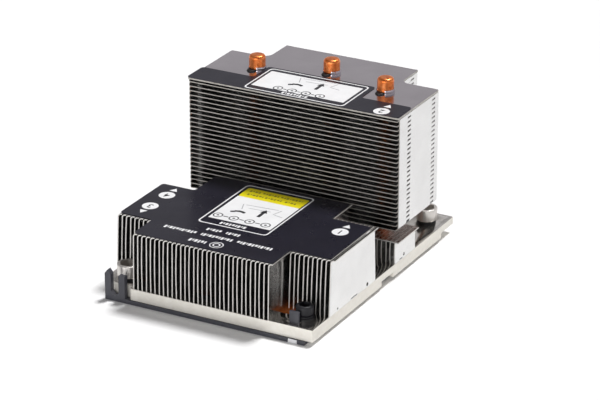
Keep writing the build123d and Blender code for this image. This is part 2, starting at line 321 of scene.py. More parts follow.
def sheet(name, low_x, high_x, low_y, high_y, z, facing_down=False):
    """A flat rectangle across Z, in millimetres."""
    deselect_all()
    bpy.ops.mesh.primitive_plane_add(
        size=1,
        location=at((low_x + high_x) / 2, (low_y + high_y) / 2, z),
        rotation=(pi if facing_down else 0, 0, 0),
    )
    piece = bpy.context.object
    piece.scale = ((high_x - low_x) * MM, (high_y - low_y) * MM, 1)
    return settle(name)


def copy_of(node, name):
    """A merged copy of a CAD node's mesh, with its flat faces made whole."""
    piece = nodes[node].copy()
    piece.data = nodes[node].data.copy()
    bpy.context.scene.collection.objects.link(piece)
    piece.name = name
    piece.parent = None
    piece.matrix_world = Matrix.Identity(4)
    deselect_all()
    bpy.context.view_layer.objects.active = piece
    piece.select_set(True)
    bpy.ops.object.mode_set(mode="EDIT")
    bpy.ops.mesh.select_all(action="SELECT")
    bpy.ops.mesh.remove_doubles(threshold=0.000002)
    bpy.ops.mesh.dissolve_limited(angle_limit=radians(1))
    bpy.ops.object.mode_set(mode="OBJECT")
    return piece


# Material helpers
class Finish:
    """A node material on Object coordinates, built round one shader."""

    def __init__(self, name, color, metallic, roughness):
        self.material = bpy.data.materials.new(name)
        self.material.use_nodes = True
        self.tree = self.material.node_tree
        self.shader = self.tree.nodes["Principled BSDF"]
        self.set("Base Color", (*color, 1))
        self.set("Metallic", metallic)
        self.set("Roughness", roughness)
        self.place = self.tree.nodes.new("ShaderNodeTexCoord").outputs["Object"]

    def set(self, socket, value):
        self.shader.inputs[socket].default_value = value

    def link(self, output, socket):
        self.tree.links.new(output, self.shader.inputs[socket])

    def stretched(self, scale):
        node = self.tree.nodes.new("ShaderNodeMapping")
        node.inputs["Scale"].default_value = scale
        self.tree.links.new(self.place, node.inputs["Vector"])
        return node.outputs["Vector"]

    def noise(self, size, detail=3, scale=(1, 1, 1)):
        """Noise whose blobs are about this many millimetres across."""
        node = self.tree.nodes.new("ShaderNodeTexNoise")
        node.inputs["Scale"].default_value = 1 / (size * MM)
        node.inputs["Detail"].default_value = detail
        self.tree.links.new(self.stretched(scale), node.inputs["Vector"])
        return node.outputs["Fac"]

    def ramp(self, factor, stops):
        node = self.tree.nodes.new("ShaderNodeValToRGB")
        while len(node.color_ramp.elements) < len(stops):
            node.color_ramp.elements.new(0.5)
        for element, (position, color) in zip(node.color_ramp.elements, stops):
            element.position = position
            element.color = (*color, 1) if isinstance(color, tuple) else (color, color, color, 1)
        self.tree.links.new(factor, node.inputs["Fac"])
        return node.outputs["Color"]

    def mottle(self, socket, size, detail, stops, scale=(1, 1, 1)):
        """Let noise of this size drive a socket through a ramp."""
        self.link(self.ramp(self.noise(size, detail, scale), stops), socket)

    def bump(self, height, strength, distance):
        node = self.tree.nodes.new("ShaderNodeBump")
        node.inputs["Strength"].default_value = strength
        node.inputs["Distance"].default_value = distance * MM
        self.tree.links.new(height, node.inputs["Height"])
        self.link(node.outputs["Normal"], "Normal")


def fin_finish():
    finish = Finish("bright_fin_sheet", (0.72, 0.715, 0.71), 1, 0.22)
    finish.mottle("Roughness", 5, 3, [(0.3, 0.16), (0.7, 0.26)])
    finish.mottle("Base Color", 8, 4, [(0.3, (0.69, 0.685, 0.68)), (0.7, (0.75, 0.745, 0.74))])
    finish.bump(finish.noise(5, 2), 0.15, 0.04)
    return finish.material


def fin_edge_finish():
    finish = Finish("cut_fin_edge", (0.72, 0.70, 0.67), 0.55, 0.5)
    finish.mottle("Base Color", 2, 3, [(0.3, (0.62, 0.60, 0.57)), (0.7, (0.76, 0.74, 0.71))])
    finish.bump(finish.noise(0.6, 2), 0.2, 0.03)
    return finish.material


# Painted shade: the stack's and the top plate's cut edges are a darker copy of the low fins' cut-edge finish.
def shaded_stack_edge_finish():
    finish = Finish("painted_shade_stack_edge", (0.46, 0.44, 0.41), 0.5, 0.5)
    finish.mottle("Base Color", 2, 3, [(0.3, (0.38, 0.36, 0.33)), (0.7, (0.54, 0.52, 0.48))])
    finish.bump(finish.noise(0.6, 2), 0.2, 0.03)
    return finish.material


def base_top_finish():
    finish = Finish("plated_base_face", (0.78, 0.75, 0.71), 1, 0.16)
    finish.mottle("Roughness", 4, 4, [(0.3, 0.11), (0.75, 0.24)])
    finish.mottle("Base Color", 2.2, 5, [(0.3, (0.70, 0.67, 0.62)), (0.6, (0.82, 0.79, 0.75))])
    finish.bump(finish.noise(3, 3), 0.12, 0.03)
    return finish.material


def base_side_finish():
    finish = Finish("plated_base_edge", (0.80, 0.77, 0.70), 0.35, 0.55)
    finish.mottle("Base Color", 1.5, 4, [(0.3, (0.77, 0.74, 0.67)), (0.7, (0.82, 0.79, 0.73))])
    finish.mottle("Roughness", 0.9, 3, [(0.3, 0.40), (0.7, 0.54)])
    finish.bump(finish.noise(0.6, 3, (1, 1, 3)), 0.14, 0.03)
    return finish.material


def top_plate_finish():
    finish = Finish("satin_top_sheet", (0.68, 0.64, 0.68), 1, 0.2)
    finish.mottle("Roughness", 0.5, 3, [(0.3, 0.13), (0.7, 0.2)], (1, 6, 1))
    finish.mottle("Base Color", 12, 4, [(0.3, (0.65, 0.61, 0.65)), (0.7, (0.71, 0.67, 0.71))])
    finish.bump(finish.noise(0.4, 3, (1, 8, 1)), 0.12, 0.01)
    return finish.material


def copper_finish():
    finish = Finish("bare_copper", (0.86, 0.25, 0.07), 0.85, 0.34)
    tones = [(0.3, (0.72, 0.16, 0.03)), (0.55, (0.86, 0.25, 0.07)), (0.8, (0.95, 0.38, 0.14))]
    finish.mottle("Base Color", 1.6, 4, tones)
    finish.mottle("Roughness", 0.8, 3, [(0.3, 0.26), (0.7, 0.44)])
    finish.bump(finish.noise(0.8, 3), 0.2, 0.05)
    return finish.material


def label_finish():
    finish = Finish("slate_label_film", (0.014, 0.013, 0.023), 0, 0.3)
    finish.set("Specular IOR Level", 0.3)
    finish.mottle("Roughness", 6, 3, [(0.3, 0.26), (0.7, 0.34)])
    finish.mottle("Base Color", 14, 3, [(0.3, (0.012, 0.011, 0.020)), (0.7, (0.016, 0.015, 0.026))])
    finish.bump(finish.noise(1.5, 2), 0.05, 0.02)
    return finish.material


def print_finish(name, dark, light):
    finish = Finish(name, light, 0, 0.42)
    finish.mottle("Base Color", 5, 2, [(0.3, dark), (0.7, light)])
    finish.bump(finish.noise(1.5, 2), 0.04, 0.02)
    return finish.material


def plastic_finish(name, color, roughness):
    finish = Finish(name, color, 0, roughness)
    finish.mottle("Roughness", 4, 3, [(0.3, roughness - 0.05), (0.7, roughness + 0.07)])
    darker = tuple(value * 0.88 for value in color)
    finish.mottle("Base Color", 6, 4, [(0.3, darker), (0.7, color)])
    finish.bump(finish.noise(0.35, 2), 0.18, 0.03)
    return finish.material


def steel_finish(name, color, roughness):
    finish = Finish(name, color, 1, roughness)
    finish.mottle("Roughness", 1.2, 4, [(0.3, roughness - 0.06), (0.7, roughness + 0.08)])
    duller = tuple(value * 0.9 for value in color)
    finish.mottle("Base Color", 2.5, 4, [(0.3, duller), (0.7, color)])
    finish.bump(finish.noise(0.5, 3), 0.15, 0.03)
    return finish.material


FIN = fin_finish()
FIN_EDGE = fin_edge_finish()
SHADED_STACK_EDGE = shaded_stack_edge_finish()
BASE_TOP = base_top_finish()
BASE_SIDE = base_side_finish()
TOP_PLATE = top_plate_finish()
COPPER = copper_finish()
LABEL = label_finish()
WHITE_PRINT = print_finish("white_print", (0.90, 0.90, 0.91), (0.96, 0.96, 0.97))
YELLOW_PRINT = print_finish("yellow_print", (0.95, 0.80, 0.002), (1.0, 0.88, 0.005))
DARK_PRINT = print_finish("dark_print", (0.02, 0.02, 0.025), (0.035, 0.035, 0.04))
GREY_PRINT = print_finish("grey_print", (0.42, 0.42, 0.44), (0.50, 0.50, 0.52))
CARRIER_PLASTIC = plastic_finish("carrier_plastic", (0.052, 0.053, 0.066), 0.46)
WASHER_NYLON = plastic_finish("washer_nylon", (0.02, 0.02, 0.022), 0.5)
BLACK_NUT = plastic_finish("black_nut", (0.006, 0.006, 0.010), 0.55)
NUT_STEEL = steel_finish("nut_nickel", (0.70, 0.67, 0.64), 0.4)
CLIP_STEEL = steel_finish("clip_steel", (0.42, 0.42, 0.43), 0.34)
OCHRE_PRINT = print_finish("ochre_print", (0.30, 0.25, 0.01), (0.36, 0.30, 0.02))
# Painted shade: the rear row's fold tops get a darker, brownish copy of the fin metal, standing in for the
# shade and dark reflection under the tall stack.
PAINTED_SHADE_FIN_TOP = steel_finish("painted_shade_fin_top", (0.34, 0.27, 0.25), 0.28)
FOOT_NYLON = plastic_finish("foot_nylon", (0.82, 0.82, 0.84), 0.5)
# Painted shade: a near-black plastic that fills the solder holes so that they read dark.
HOLE_SHADE = plastic_finish("painted_hole_shade", (0.012, 0.010, 0.010), 0.5)


def place(piece, body, *replaced):
    """Let a piece ride on its body, in place of the CAD nodes that it replaces."""
    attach(piece, body)
    if replaced:
        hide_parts(*replaced)


def dress(piece, material, body, *replaced):
    piece.data.materials.clear()
    piece.data.materials.append(material)
    place(piece, body, *replaced)


def give_finishes(piece, face, edge):
    """Two finishes: the first is on all faces, and thicken gives the second to the cut edges."""
    piece.data.materials.clear()
    piece.data.materials.append(face)
    piece.data.materials.append(edge)


def paint_picked(piece, slot):
    """Give the picked faces the finish in this slot, and leave edit mode."""
    piece.active_material_index = slot
    bpy.ops.object.material_slot_assign()
    bpy.ops.object.mode_set(mode="OBJECT")


# Base plate: the CAD solid with broken edges, a bright face and satin sides
def base_plate():
    piece = copy_of("base_plate", "plated_base_plate")
    round_edges(piece, 0.22)
    smooth(piece)
    give_finishes(piece, BASE_SIDE, BASE_TOP)
    pick(piece, "FACE", lambda v: near(v.z, BASE_THICKNESS, 0.01))
    paint_picked(piece, 1)
    place(piece, "heatsink", "base_plate")


# Carrier frame: the CAD solid with moulded edges and a notch for the pale foot
def carrier():
    piece = copy_of("carrier_frame", "moulded_carrier")
    cut(piece, block("foot_notch", FOOT_NOTCH_LOW, FOOT_NOTCH_HIGH))
    round_edges(piece, 0.25)
    smooth(piece)
    dress(piece, CARRIER_PLASTIC, "heatsink", "carrier_frame")


# Low fins: an upright sheet with a rounded fold at its top, its ends leaning back from the base
def low_fin_row(
    name, first, count, start, length, top, fold_radius, node, holes=(), lean=(0, 0), painted_shade_top=None
):
    wall_x = BASE_WIDTH - (LOW_FIN_COUNT - 1 - first) * FIN_PITCH - FIN_SHEET
    height = top - BASE_THICKNESS
    deselect_all()
    bpy.ops.mesh.primitive_plane_add(
        size=1, location=at(wall_x, start + length / 2, BASE_THICKNESS + height / 2), rotation=(0, -pi / 2, 0)
    )
    fin = bpy.context.object
    fin.scale = (height * MM, length * MM, 1)
    fin = settle(name)
    pick(fin, "EDGE", lambda v: near(v.z, top))
    extrude(x=FIN_PITCH)
    pick(fin, "EDGE", lambda v: near(v.x, wall_x) and near(v.z, top))
    bpy.ops.mesh.bevel(offset=fold_radius * MM, segments=6, affect="EDGES")
    for end, way in ((start, lean[0]), (start + length, -lean[1])):
        pick(fin, "VERT", lambda v: near(v.y, end) and v.z > BASE_THICKNESS + 0.1)
        shift(y=way)
    for share in (0.2, 0.4, 0.6, 0.78):
        pick(fin, "FACE", lambda v: True)
        bpy.ops.mesh.bisect(plane_co=at(0, 0, BASE_THICKNESS + share * height), plane_no=(0, 0, 1))
    bpy.ops.object.mode_set(mode="OBJECT")
    give_finishes(fin, FIN, FIN_EDGE)
    thicken(fin, FIN_SHEET)
    for index, (y, z, across, high) in enumerate(holes):
        cut(fin, punch(f"punch_{index}", wall_x, y, z, across, high))
    repeat(fin, count, (FIN_PITCH, 0, 0))
    bow_fins(fin, wall_x, top)
    # The fold tops take the darker finish, which paints the shade under the stack onto them.
    if painted_shade_top:
        fin.data.materials.append(painted_shade_top)
        pick(fin, "FACE", lambda v: v.z > top - 0.03)
        paint_picked(fin, 2)
    smooth(fin)
    place(fin, "heatsink", node)


def punch(name, x, y, z, across, high):
    """A round or long tool that goes through an upright sheet."""
    deselect_all()
    bpy.ops.mesh.primitive_cylinder_add(
        vertices=20, radius=high / 2 * MM, depth=3 * MM, location=at(x, y, z), rotation=(0, pi / 2, 0)
    )
    tool = settle(name)
    pick(tool, "VERT", lambda v: v.y > y + 0.01)
    shift(y=across - high)
    bpy.ops.object.mode_set(mode="OBJECT")
    return tool


def bow_fins(fin, first_x, top):
    """Thin sheet: every fin bows by its own small amount, its foot and top staying put."""
    for vertex in fin.data.vertices:
        point = spot(vertex.co)
        number = int((point.x - first_x + 0.1) / FIN_PITCH)
        rise = (point.z - BASE_THICKNESS) / (top - BASE_THICKNESS)
        bow = sin(pi * min(max(rise, 0), 1)) * (0.14 * sin(number * 2.3 + 0.4) - 0.1)
        vertex.co.x += bow * MM


def low_fins():
    wing_holes = [(18.2, 5.35, 0.85, 0.85), (28.4, 4.85, 4.6, 0.35), (40.4, 5.45, 1.4, 1.4)]
    rear_holes = [(69.0, 5.7, 1.2, 1.2), (65.6, 4.85, 2.4, 0.35)]
    wing = {"start": WING_START, "top": LOW_TOP, "fold_radius": LOW_FOLD}
    low_fin_row(
        "left_wing",
        0,
        LEFT_WING_COUNT,
        length=LEFT_WING_LENGTH,
        node="left_wing_fins",
        lean=(1.2, 0.5),
        **wing,
    )
    low_fin_row(
        "right_wing",
        LOW_FIN_COUNT - RIGHT_WING_COUNT,
        RIGHT_WING_COUNT,
        length=RIGHT_WING_LENGTH,
        node="right_wing_fins",
        holes=wing_holes,
        lean=(1.2, 0.9),
        **wing,
    )
    low_fin_row(
        "centre_pack",
        LEFT_WING_COUNT,
        CENTRE_COUNT,
        start=CENTRE_START,
        length=CENTRE_LENGTH,
        top=LOW_TOP,
        fold_radius=LOW_FOLD,
        node="centre_pack_fins",
        lean=(0.5, 0.4),
    )
    low_fin_row(
        "rear_row",
        0,
        LOW_FIN_COUNT,
        start=REAR_ROW_START,
        length=REAR_ROW_LENGTH,
        top=REAR_ROW_TOP,
        fold_radius=REAR_ROW_FOLD,
        painted_shade_top=PAINTED_SHADE_FIN_TOP,
        node="rear_row_fins",
        holes=rear_holes,
    )


# Tall stack: T-shaped sheets with folded sides, and locking slots in the folds
def stack_sheet(name, z, facing_down, corner_radius):
    piece = sheet(name, 0, BASE_WIDTH, STACK_FRONT, STACK_BACK, z, facing_down)
    for x in (TAIL_INSET, BASE_WIDTH - TAIL_INSET):
        pick(piece, "FACE", lambda v: True)
        bpy.ops.mesh.bisect(plane_co=at(x, 0, 0), plane_no=(1, 0, 0))
    pick(
        piece,
        "EDGE",
        lambda v: near(v.y, STACK_BACK) and TAIL_INSET - 0.1 < v.x < BASE_WIDTH - TAIL_INSET + 0.1,
    )
    extrude(y=TAIL_BACK - STACK_BACK)
    pick(piece, "FACE", lambda v: True)
    bpy.ops.mesh.dissolve_limited(angle_limit=radians(1))
    pick(
        piece,
        "VERT",
        lambda v: near(v.y, STACK_BACK) and (near(v.x, TAIL_INSET) or near(v.x, BASE_WIDTH - TAIL_INSET)),
    )
    bpy.ops.mesh.bevel(offset=corner_radius * MM, segments=6, affect="VERTICES")
    return piece


def fold_sides_up(piece, z, rise, fold_radius):
    tail_sides = (TAIL_INSET, BASE_WIDTH - TAIL_INSET)
    for sides in ((0, BASE_WIDTH), tail_sides):
        for x in sides:
            straight_start = STACK_FRONT if sides[0] == 0 else STACK_BACK + 2
            pick(piece, "EDGE", lambda v: near(v.x, x) and near(v.z, z) and v.y > straight_start - 0.1)
            extrude(z=rise)
            pick(piece, "EDGE", lambda v: near(v.x, x) and near(v.z, z) and v.y > straight_start - 0.1)
            bpy.ops.mesh.bevel(offset=fold_radius * MM, segments=4, affect="EDGES")


def slot_tool(name, x, y, z):
    """A slanted block that opens a locking slot in a folded side."""
    reach, half = SLOT_DEPTH / 2, SLOT_WIDTH / 2
    tool = block(name, (x - reach, y - half, z), (x + reach, y + half, z + SLOT_HEIGHT))
    pick(tool, "VERT", lambda v: v.z > z + SLOT_HEIGHT / 2)
    shift(y=SLOT_SLANT)
    bpy.ops.object.mode_set(mode="OBJECT")
    return tool


def slot_sides(piece, floor_z):
    """Open the locking slots of one sheet, just over its folds."""
    low = floor_z + STACK_FOLD - 0.2
    tools = [slot_tool(f"slot_{x}_{y}", x, y, low) for x in (0, BASE_WIDTH) for y in SLOT_COLUMNS]
    for x in (TAIL_INSET, BASE_WIDTH - TAIL_INSET):
        tools.append(slot_tool(f"tail_slot_{x}", x, TAIL_SLOT_COLUMN, low))
    cut(piece, join(tools, "slot_tools"))


def slant_flanges(piece, floor_z):
    """Lean the ends of the folded sides, so that the stack's edge is toothed."""
    for y, way in ((STACK_FRONT, 0.3), (STACK_BACK, -0.15), (TAIL_BACK, -0.15)):
        for rise in (0.25, 0.5, 0.8):
            pick(piece, "VERT", lambda v: v.z > floor_z + rise and near(v.y, y, 0.9))
            shift(y=way)


def stack_fins():
    piece = stack_sheet("stack_fins", STACK_FLOOR, True, STACK_INNER_CORNER)
    fold_sides_up(piece, STACK_FLOOR, STACK_RISE, STACK_FOLD)
    slant_flanges(piece, STACK_FLOOR)
    bpy.ops.object.mode_set(mode="OBJECT")
    give_finishes(piece, FIN, SHADED_STACK_EDGE)
    thicken(piece, STACK_SHEET)
    slot_sides(piece, STACK_FLOOR)
    for side in RISERS:
        cut(piece, solder_hole(side, STACK_FLOOR))
    repeat(piece, STACK_FIN_COUNT, (0, 0, FIN_PITCH))
    pick(piece, "VERT", lambda v: v.z > PLATE_FLOOR - 0.05)
    grow(1, 1, 0, (0, 0, PLATE_FLOOR - 0.05))
    bpy.ops.object.mode_set(mode="OBJECT")
    smooth(piece)
    place(piece, "heatsink", *[f"stack_fin_{number:02d}" for number in range(1, STACK_FIN_COUNT + 1)])


def pipe_top(side):
    x, y = RISERS[side]
    return x + TOP_SHIFT[side][0], y + TOP_SHIFT[side][1]


def solder_place(side):
    x, y = pipe_top(side)
    return x + SOLDER_HOLE_SHIFT[0], y + SOLDER_HOLE_SHIFT[1]


def solder_hole(side, z):
    """A tool for the solder hole in front of a pipe, round this height."""
    low, high = z - SOLDER_TOOL_REACH, z + SOLDER_TOOL_REACH
    return rod("solder_hole", *solder_place(side), low, high, SOLDER_HOLE_RADIUS, SOLDER_HOLE_SIDES)


# Top plate: a sheet with a drawn collar round each pipe, and a near-black plug of painted shade in the holes
# beside them
def top_plate():
    piece = stack_sheet("top_plate", PLATE_TOP, False, PLATE_INNER_CORNER)
    pick(piece, "VERT", lambda v: near(v.y, STACK_BACK) and (near(v.x, 0) or near(v.x, BASE_WIDTH)))
    bpy.ops.mesh.bevel(offset=PLATE_OUTER_CORNER * MM, segments=4, affect="VERTICES")
    bpy.ops.object.mode_set(mode="OBJECT")
    give_finishes(piece, TOP_PLATE, SHADED_STACK_EDGE)
    thicken(piece, PLATE_THICKNESS)
    for side in RISERS:
        cut(piece, solder_hole(side, PLATE_TOP))
    round_edges(piece, 0.08, 1, 40)
    collars = []
    for side in RISERS:
        collar_floor, collar_top = PLATE_TOP - 0.3, PLATE_TOP + COLLAR_HEIGHT
        radius = PIPE_RADIUS + COLLAR_WALL
        collar = rod(f"collar_{side}", *pipe_top(side), collar_floor, collar_top, radius)
        pick(collar, "FACE", lambda v: near(v.z, collar_top))
        bpy.ops.mesh.inset(thickness=COLLAR_WALL * MM)
        extrude(z=-0.5)
        bpy.ops.object.mode_set(mode="OBJECT")
        cut(collar, solder_hole(side, PLATE_TOP + 0.1))
        round_edges(collar, 0.09)
        collar.data.materials.append(TOP_PLATE)
        collars.append(collar)
        painted_hole_shade(side)
    piece = join([piece] + collars, "top_plate")
    smooth(piece)
    place(piece, "heatsink", "stack_top_plate")


# A near-black plug in the solder hole, standing a little above the plate: painted shade of the hole.
def painted_hole_shade(side):
    low, high = PLATE_FLOOR - 0.5, PLATE_TOP + SHADE_PLUG_RISE
    radius = SOLDER_HOLE_RADIUS - 0.05
    shade_plug = rod(f"painted_hole_shade_{side}", *solder_place(side), low, high, radius, SOLDER_HOLE_SIDES)
    round_edges(shade_plug, 0.35, 3)
    smooth(shade_plug)
    dress(shade_plug, HOLE_SHADE, "heatsink")


# Heat pipes: a ring spun round the bend, pressed flat towards its tip and closed with a dome
def heat_pipe(side):
    x, riser = RISERS[side]
    bend_start = riser - PIPE_BEND_RADIUS
    deselect_all()
    bpy.ops.mesh.primitive_circle_add(
        vertices=32,
        radius=PIPE_RADIUS * MM,
        location=at(x, bend_start, BASE_THICKNESS),
        rotation=(pi / 2, 0, 0),
    )
    pipe = settle(f"copper_pipe_{side}")
    pick(pipe, "VERT", lambda v: True)
    bpy.ops.mesh.spin(
        steps=12,
        angle=pi / 2,
        center=at(x, bend_start, BASE_THICKNESS + PIPE_BEND_RADIUS),
        axis=(-1, 0, 0),
        dupli=False,
    )
    bend_end = BASE_THICKNESS + PIPE_BEND_RADIUS
    pick(pipe, "EDGE", lambda v: near(v.z, bend_end, 0.01) and v.y > riser - PIPE_RADIUS - 0.1)
    cap = [(1.3, 1), (0.85, 0.985), (0.5, 0.94), (0.22, 0.85), (0.06, 0.72), (0, 0.5)]
    rise = bend_end
    width = 1
    for below_top, share in cap:
        extrude(z=PIPE_TOP - below_top - rise)
        grow(share / width, share / width, 1, (x, riser, 0))
        rise, width = PIPE_TOP - below_top, share
    bpy.ops.mesh.edge_face_add()
    pick(pipe, "EDGE", lambda v: near(v.y, bend_start, 0.01))
    extrude(y=-2.5)
    grow(FLAT_WIDTH / 2 / PIPE_RADIUS, 1, 0.5, (x, bend_start, BASE_THICKNESS))
    shift(z=-FLAT_HEIGHT / 2)
    extrude(y=PIPE_TIP + 0.7 - (bend_start - 2.5))
    extrude(y=-0.7)
    grow(0.8, 1, 0.5, (x, PIPE_TIP, BASE_THICKNESS - FLAT_HEIGHT / 2))
    bpy.ops.mesh.edge_face_add()
    pick(pipe, "VERT", lambda v: True)
    bpy.ops.mesh.remove_doubles(threshold=0.000005)
    bpy.ops.mesh.normals_make_consistent(inside=False)
    pick(pipe, "VERT", lambda v: v.z > PLATE_FLOOR - 5)
    shift(*TOP_SHIFT[side])
    bpy.ops.object.mode_set(mode="OBJECT")
    smooth(pipe, 50)
    dress(pipe, COPPER, "heatsink", f"heat_pipe_{side}")


# Captive nuts: a head with a star-shaped recess over its shank, and the black one domed
def star_drive(x, y, top, share, depth):
    """A cutting tool with six rounded points."""
    deselect_all()
    bpy.ops.mesh.primitive_cylinder_add(
        vertices=48, radius=DRIVE_TIP * MM, depth=(depth + 1) * MM, location=at(x, y, top + 0.5 - depth / 2)
    )
    star = settle("star_drive")
    centre = at(x, y, 0)
    middle_reach, wave = (DRIVE_TIP + DRIVE_ROOT) / 2, (DRIVE_TIP - DRIVE_ROOT) / 2
    for vertex in star.data.vertices:
        angle = (vertex.co - centre).to_2d().angle_signed(Vector((1, 0)))
        reach = share * (middle_reach + wave * cos(6 * angle))
        vertex.co.x = centre.x + reach * MM * cos(angle)
        vertex.co.y = centre.y + reach * MM * sin(angle)
    return star


def captive_nut(corner):
    x, y = NUTS[corner]
    low, high = floor_of(f"nut_{corner}"), top_of(f"nut_{corner}")
    black = corner == "front_right"
    flanges = []
    if black:
        head_top = high - BLACK_NUT_DROP
        flange_top = NUT_HEAD_FLOOR + NUT_FLANGE
        flange = rod("nut_flange", x, y, NUT_HEAD_FLOOR, flange_top, BLACK_NUT_RADIUS, 64)
        round_edges(flange, 0.2, 3)
        head = rod(f"nut_head_{corner}", x, y, flange_top - 0.1, head_top, BLACK_NUT_RADIUS, 64)
        round_edges(head, 0.9, 5)
        cut(head, star_drive(x, y, head_top, BLACK_DRIVE_SHARE, BLACK_DRIVE_DEPTH))
        flanges.append(flange)
    else:
        head = rod(f"nut_head_{corner}", x, y, NUT_HEAD_FLOOR, high, NUT_HEAD_RADIUS, 64)
        round_edges(head, 0.3, 3)
        cut(head, star_drive(x, y, high, 1, DRIVE_DEPTH))
    shank = rod(f"nut_shank_{corner}", x, y, low, NUT_HEAD_FLOOR + 0.2, NUT_SHANK_RADIUS)
    for solid in [head, shank] + flanges:
        cut(solid, rod("nut_bore", x, y, low - 1, high + 1, NUT_BORE_RADIUS, 32))
    nut = join([head, shank] + flanges, f"captive_nut_{corner}")
    smooth(nut, 30)
    dress(nut, BLACK_NUT if black else NUT_STEEL, f"captive_nut_{corner}", f"nut_{corner}")


def small_hardware():
    for corner in NUTS:
        captive_nut(corner)
        nodes[f"nut_clip_{corner}"].data.materials.clear()
        nodes[f"nut_clip_{corner}"].data.materials.append(CLIP_STEEL)
    low, high = floor_of("nut_washers"), top_of("nut_washers")
    washers = []
    for x, y in NUTS.values():
        washer = rod("washer", x, y, low, high, WASHER_RADIUS)
        cut(washer, rod("washer_bore", x, y, low - 1, high + 1, WASHER_BORE_RADIUS))
        washers.append(washer)
    washers = join(washers, "nylon_washers")
    smooth(washers)
    dress(washers, WASHER_NYLON, "heatsink", "nut_washers")
    foot = block("pale_foot", FOOT_LOW, FOOT_HIGH)
    round_edges(foot, 0.2)
    smooth(foot)
    dress(foot, FOOT_NYLON, "heatsink")


# Labels: film with rounded corners, and printed shapes just above it
def film(name, rectangles, z, node):
    """A label made of overlapping rectangles, its outer corners rounded."""
    slabs = []
    for index, (low, high) in enumerate(rectangles):
        slabs.append(block(f"{name}_{index}", (*low, z), (*high, z + FILM)))
    piece = slabs[0]
    for other in slabs[1:]:
        finish_modifier(piece, "BOOLEAN", operation="UNION", object=other, solver="EXACT")
        bpy.data.objects.remove(other, do_unlink=True)
    pick(piece, "FACE", lambda v: True)
    bpy.ops.mesh.dissolve_limited(angle_limit=radians(1))
    pick_upright_edges(piece)
    bpy.ops.mesh.bevel(offset=FILM_CORNER * MM, segments=6, affect="EDGES")
    bpy.ops.object.mode_set(mode="OBJECT")
    smooth(piece)
    dress(piece, LABEL, "heatsink", node)


def ink_dot(name, x, y, z, radius, sides=32):
    return rod(name, x, y, z, z + INK, radius, sides)


def ink_bar(name, x, y, z, width, depth, turn=0, rounding=0.3):
    """A short printed bar, turned about its middle, with rounded ends."""
    bar = block(name, (x - width / 2, y - depth / 2, z), (x + width / 2, y + depth / 2, z + INK))
    if turn:
        middle = at(x, y, z)
        turned = Matrix.Rotation(turn, 4, "Z")
        bar.data.transform(Matrix.Translation(middle) @ turned @ Matrix.Translation(-middle))
    if rounding:
        pick_upright_edges(bar)
        bpy.ops.mesh.bevel(offset=min(rounding, min(width, depth) * 0.45) * MM, segments=3, affect="EDGES")
        bpy.ops.object.mode_set(mode="OBJECT")
    return bar


def ink_ring(name, x, y, z, radius, width):
    ring = ink_dot(name, x, y, z, radius, 40)
    hole = rod("ring_hole", x, y, z - 1, z + 1, radius - width, 40)
    cut(ring, hole)
    return ring


def ink_frame(name, low, high, z, width, radius):
    """A printed outline with rounded corners."""
    x, y = (low[0] + high[0]) / 2, (low[1] + high[1]) / 2
    across, deep = high[0] - low[0], high[1] - low[1]
    outer = ink_bar(name, x, y, z, across, deep, 0, radius)
    inner = ink_bar("outline_hole", x, y, z, across - 2 * width, deep - 2 * width, 0, radius - width / 2)
    middle = at(0, 0, z + INK / 2).z
    for vertex in inner.data.vertices:
        vertex.co.z = at(0, 0, z - 1).z if vertex.co.z < middle else at(0, 0, z + 1).z
    cut(outer, inner)
    return outer


def ink_triangle(name, x, y, z, size, turn):
    deselect_all()
    bpy.ops.mesh.primitive_cylinder_add(
        vertices=3, radius=size * MM, depth=INK * MM, location=at(x, y, z + INK / 2), rotation=(0, 0, turn)
    )
    return settle(name)


def ink_numeral(name, text, x, y, z, height):
    """A numeral that reads from behind the part."""
    deselect_all()
    bpy.ops.object.text_add(location=(0, 0, 0))
    words = bpy.context.object
    words.data.body = text
    words.data.align_x = "CENTER"
    words.data.align_y = "CENTER"
    words.data.size = height * MM * 1.4
    words.data.extrude = INK * MM / 2
    words.data.offset = 0.04 * MM
    bpy.ops.object.convert(target="MESH")
    numeral = bpy.context.object
    numeral.name = name
    numeral.data.transform(Matrix.Translation(at(x, y, z + INK / 2)) @ Matrix.Rotation(pi, 4, "Z"))
    return numeral


def word_bars(name, spans, y, z, height):
    """Short plain strokes in place of a line of words."""
    bars = []
    for index, (start, end) in enumerate(spans):
        x = start
        while x < end - 0.3:
            number = len(bars)
            width = min(STROKES[number % len(STROKES)], end - x)
            rise = height * STROKE_HEIGHTS[number % len(STROKE_HEIGHTS)]
            middle_y = y + (height - rise) / 2
            bars.append(ink_bar(f"{name}_{index}_{number}", x + width / 2, middle_y, z, width, rise, 0, 0.15))
            x += width + STROKE_GAP
    return bars


def ink(pieces, name, material):
    piece = join(pieces, name)
    dress(piece, material, "heatsink")


def step_mark(name, text, x, y, z, pointing):
    """A numbered disc with a pointer beside it, for the order of the nuts."""
    disc = ink_dot(f"{name}_disc", x, y, z, 2.95, 40)
    forward, turn = (1, 0) if pointing == "back" else (-1, pi)
    pointer = ink_triangle(f"{name}_pointer", x + 0.1 * forward, y + 5.0 * forward, z, 1.75, turn)
    ink([disc, pointer], f"{name}_mark", WHITE_PRINT)
    ink([ink_numeral(f"{name}_numeral", text, x, y, z + INK, 3.0)], f"{name}_numeral", DARK_PRINT)


